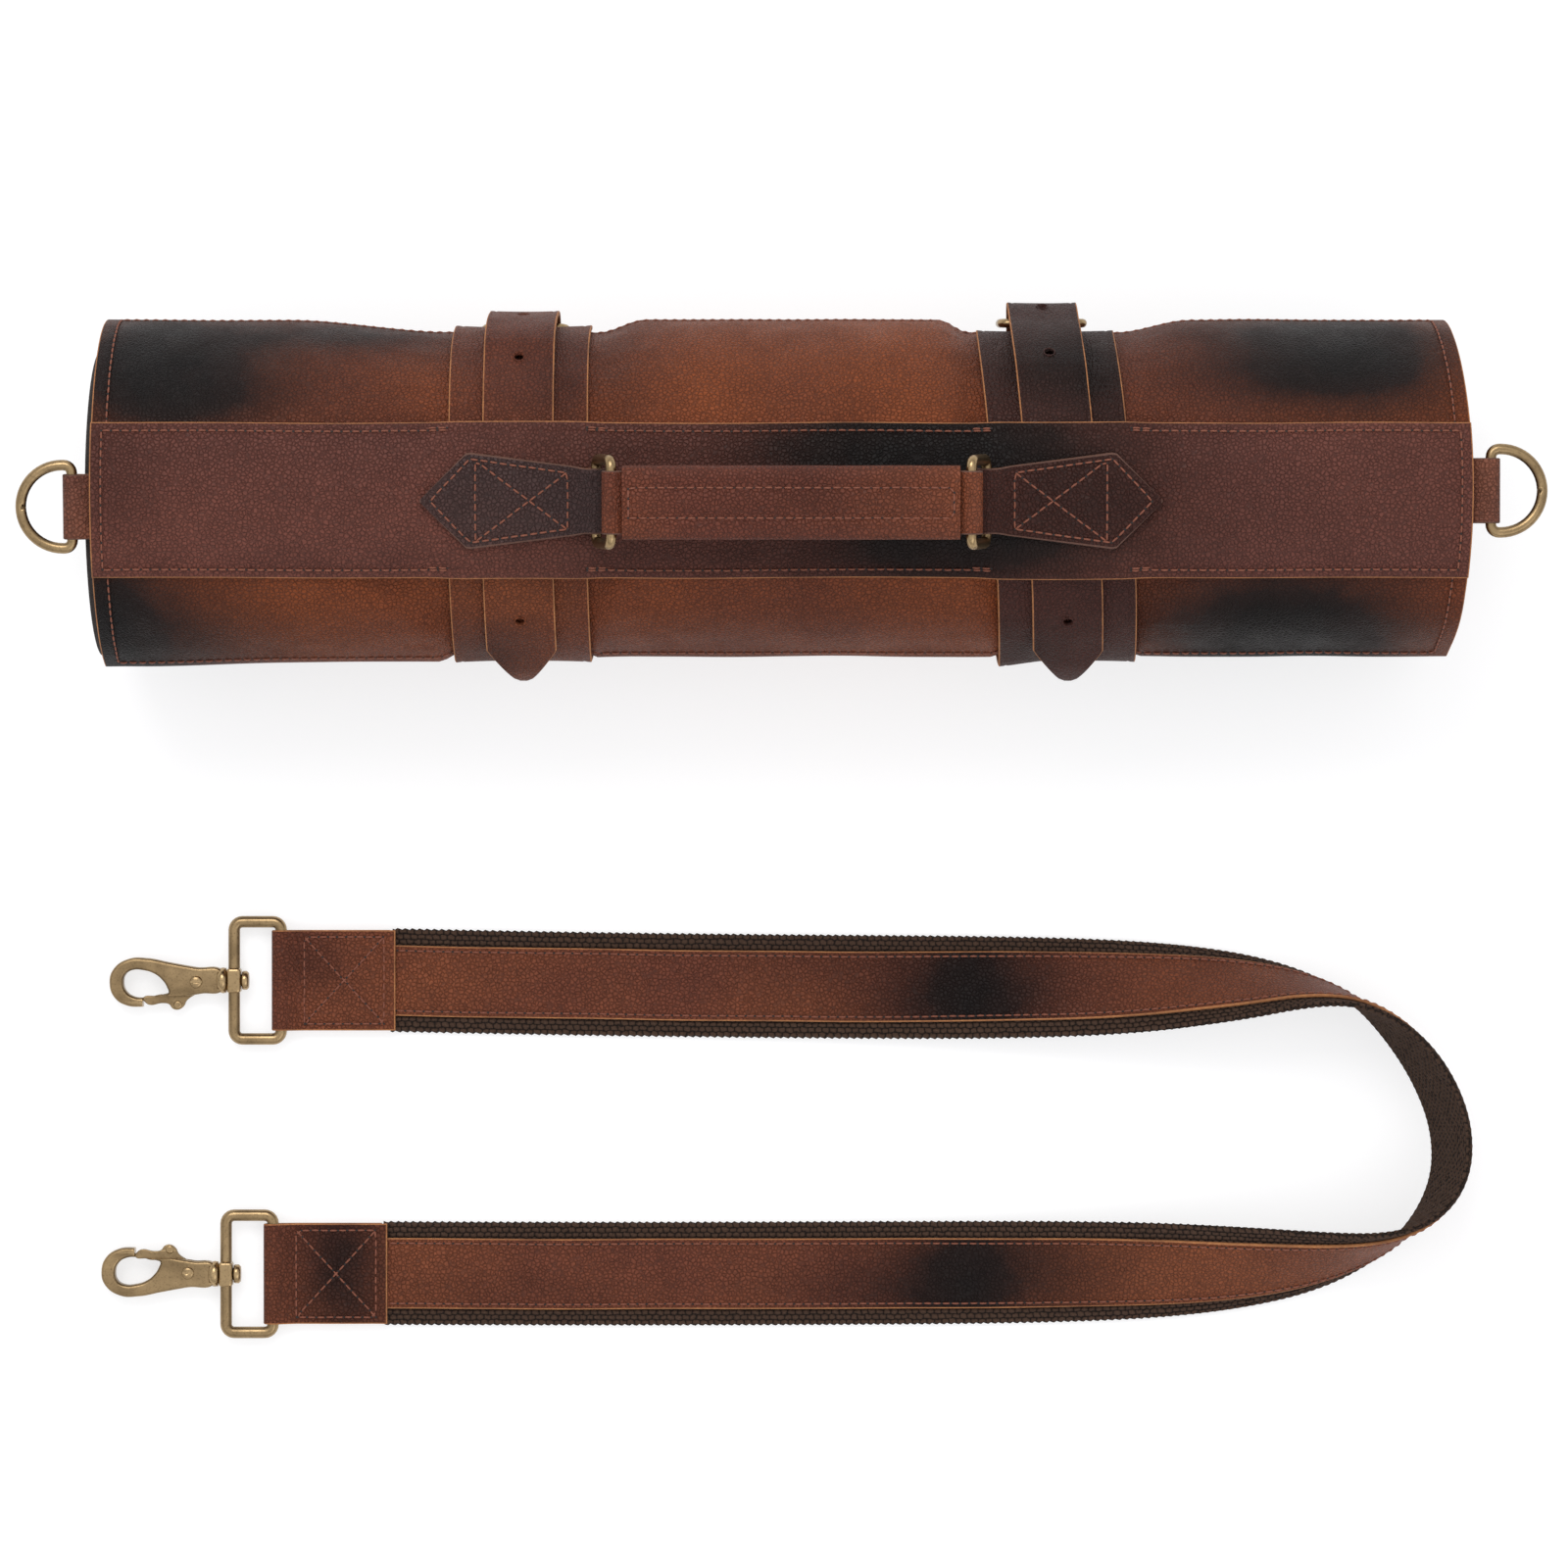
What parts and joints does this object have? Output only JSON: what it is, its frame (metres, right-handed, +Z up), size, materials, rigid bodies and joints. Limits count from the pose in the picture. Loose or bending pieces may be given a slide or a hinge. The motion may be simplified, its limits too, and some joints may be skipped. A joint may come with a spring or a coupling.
{
  "type": "leather brush roll case",
  "caption": "Rolled leather brush case with belted closure, top carry handle, end D-rings and a detachable webbing shoulder strap with swivel snap hooks.",
  "frame": {"origin": "on the table under the middle of the roll's length, straight below the roll's axis", "axes": "+X along the roll, +Y towards the back of the roll, away from the shoulder strap, +Z up"},
  "size_m": [0.537, 0.3771, 0.1481],
  "materials": {
    "case_leather": "two-tone burnished full-grain leather, satin",
    "belt_leather_brown": "pull-up leather, satin",
    "belt_leather_maroon": "dark pull-up leather, satin",
    "patch_leather": "near-black brown leather, satin",
    "tab_leather": "soft leather, satin",
    "grip_leather": "padded leather, satin",
    "strap_leather": "burnished leather facing, satin",
    "lining_canvas": "dark woven canvas",
    "felt": "felt padding",
    "webbing": "coarse plain-weave webbing",
    "antique_brass": "antique brass, darkened in the recesses",
    "spring_steel": "spring wire"
  },
  "bodies": {
    "case": {"main_cover": "case_leather", "lining": "lining_canvas", "pocket_panel": "lining_canvas", "outer_panel": "case_leather", "spine_band": "case_leather", "belt_base_left": "belt_leather_brown", "belt_strap_left": "belt_leather_brown", "buckle_chape_left": "belt_leather_brown", "belt_base_right": "belt_leather_maroon", "belt_strap_right": "belt_leather_maroon", "buckle_chape_right": "belt_leather_maroon", "end_tab_left": "tab_leather", "end_tab_right": "tab_leather", "handle_patch_left": "patch_leather", "handle_patch_right": "patch_leather"},
    "shoulder_strap": {"strap_webbing": "webbing", "strap_facing": "strap_leather", "strap_ends": "webbing", "strap_chape_1": "strap_leather", "strap_chape_2": "strap_leather"},
    "end_ring_left": {"end_ring_left": "antique_brass"},
    "end_ring_right": {"end_ring_right": "antique_brass"},
    "handle_ring_left": {"handle_ring_left": "antique_brass"},
    "handle_ring_right": {"handle_ring_right": "antique_brass"},
    "grip": {"grip_strap": "grip_leather", "grip_cover": "grip_leather", "grip_padding": "felt"},
    "buckle_frame_left": {"buckle_frame_left": "antique_brass"},
    "buckle_prong_left": {"buckle_prong_left": "antique_brass"},
    "buckle_frame_right": {"buckle_frame_right": "antique_brass"},
    "buckle_prong_right": {"buckle_prong_right": "antique_brass"},
    "swivel_loop_1": {"swivel_loop_1": "antique_brass"},
    "hook_1": {"hook_body_1": "antique_brass", "hook_rivet_1": "antique_brass", "gate_spring_1": "spring_steel"},
    "gate_1": {"hook_gate_1": "antique_brass"},
    "swivel_loop_2": {"swivel_loop_2": "antique_brass"},
    "hook_2": {"hook_body_2": "antique_brass", "hook_rivet_2": "antique_brass", "gate_spring_2": "spring_steel"},
    "gate_2": {"hook_gate_2": "antique_brass"}
  },
  "joints": [
    {"name": "strap_lift", "type": "slide", "parent": "case", "child": "shoulder_strap", "axis": [0, 0, 1], "range_m": [0, 0.3]},
    {"name": "end_ring_left_swing", "type": "hinge", "parent": "case", "child": "end_ring_left", "pos_m": [-0.2486, -0.00664, 0.11592], "axis": [0, 0.9936, 0.1132], "range_deg": [-90, 120]},
    {"name": "end_ring_right_swing", "type": "hinge", "parent": "case", "child": "end_ring_right", "pos_m": [0.2486, -0.00102, 0.11628], "axis": [0, -0.9998, -0.0175], "range_deg": [-90, 120]},
    {"name": "handle_swing", "type": "hinge", "parent": "case", "child": "handle_ring_left", "pos_m": [-0.0646, -0.00513, 0.1259], "axis": [0, 0.9972, 0.075], "range_deg": [-16, 16]},
    {"name": "grip_on_left_ring", "type": "hinge", "parent": "handle_ring_left", "child": "grip", "pos_m": [-0.05901, -0.00641, 0.14296], "axis": [0, 0.9972, 0.075], "range_deg": [-18, 18]},
    {"name": "handle_ring_right_swing", "type": "hinge", "parent": "case", "child": "handle_ring_right", "pos_m": [0.0714, -0.00513, 0.1259], "axis": [0, 0.9972, 0.075], "range_deg": [-16.5, 16.5]},
    {"name": "buckle_frame_left_swing", "type": "hinge", "parent": "case", "child": "buckle_frame_left", "pos_m": [-0.0925, 0.06119, 0.04795], "axis": [1, 0, 0], "range_deg": [0, 12]},
    {"name": "buckle_prong_left_swing", "type": "hinge", "parent": "case", "child": "buckle_prong_left", "pos_m": [-0.0925, 0.06119, 0.04795], "axis": [1, 0, 0], "range_deg": [0, 12]},
    {"name": "buckle_frame_right_swing", "type": "hinge", "parent": "case", "child": "buckle_frame_right", "pos_m": [0.09368, 0.0618, 0.06196], "axis": [1, 0, 0], "range_deg": [0, 12]},
    {"name": "buckle_prong_right_swing", "type": "hinge", "parent": "case", "child": "buckle_prong_right", "pos_m": [0.09368, 0.0618, 0.06196], "axis": [1, 0, 0], "range_deg": [0, 12]},
    {"name": "loop_swing_1", "type": "hinge", "parent": "shoulder_strap", "child": "swivel_loop_1", "pos_m": [-0.1845, -0.1762, 0.0047], "axis": [0, 1, 0], "range_deg": [0, 140]},
    {"name": "hook_swivel_1", "type": "hinge", "parent": "swivel_loop_1", "child": "hook_1", "pos_m": [-0.2018, -0.1762, 0.0047], "axis": [1, 0, 0], "continuous": true},
    {"name": "gate_press_1", "type": "hinge", "parent": "hook_1", "child": "gate_1", "pos_m": [-0.2156, -0.1767, 0.0047], "axis": [0, 0, -1], "range_deg": [0, 25], "stiffness_Nm_per_rad": 0.02, "springref_deg": -22.92},
    {"name": "loop_swing_2", "type": "hinge", "parent": "shoulder_strap", "child": "swivel_loop_2", "pos_m": [-0.1875, -0.2844, 0.0047], "axis": [0, 1, 0], "range_deg": [0, 140]},
    {"name": "hook_swivel_2", "type": "hinge", "parent": "swivel_loop_2", "child": "hook_2", "pos_m": [-0.2048, -0.2844, 0.0047], "axis": [1, 0, 0], "continuous": true},
    {"name": "gate_press_2", "type": "hinge", "parent": "hook_2", "child": "gate_2", "pos_m": [-0.2186, -0.2839, 0.0047], "axis": [0, 0, 1], "range_deg": [0, 25], "stiffness_Nm_per_rad": 0.02, "springref_deg": -22.92}
  ],
  "couplings": [
    {"joint": "grip_on_left_ring", "follows": "handle_swing", "ratio": -1.09},
    {"joint": "handle_ring_right_swing", "follows": "handle_swing", "ratio": 1},
    {"joint": "buckle_prong_left_swing", "follows": "buckle_frame_left_swing", "ratio": 1},
    {"joint": "buckle_prong_right_swing", "follows": "buckle_frame_right_swing", "ratio": 1}
  ]
}
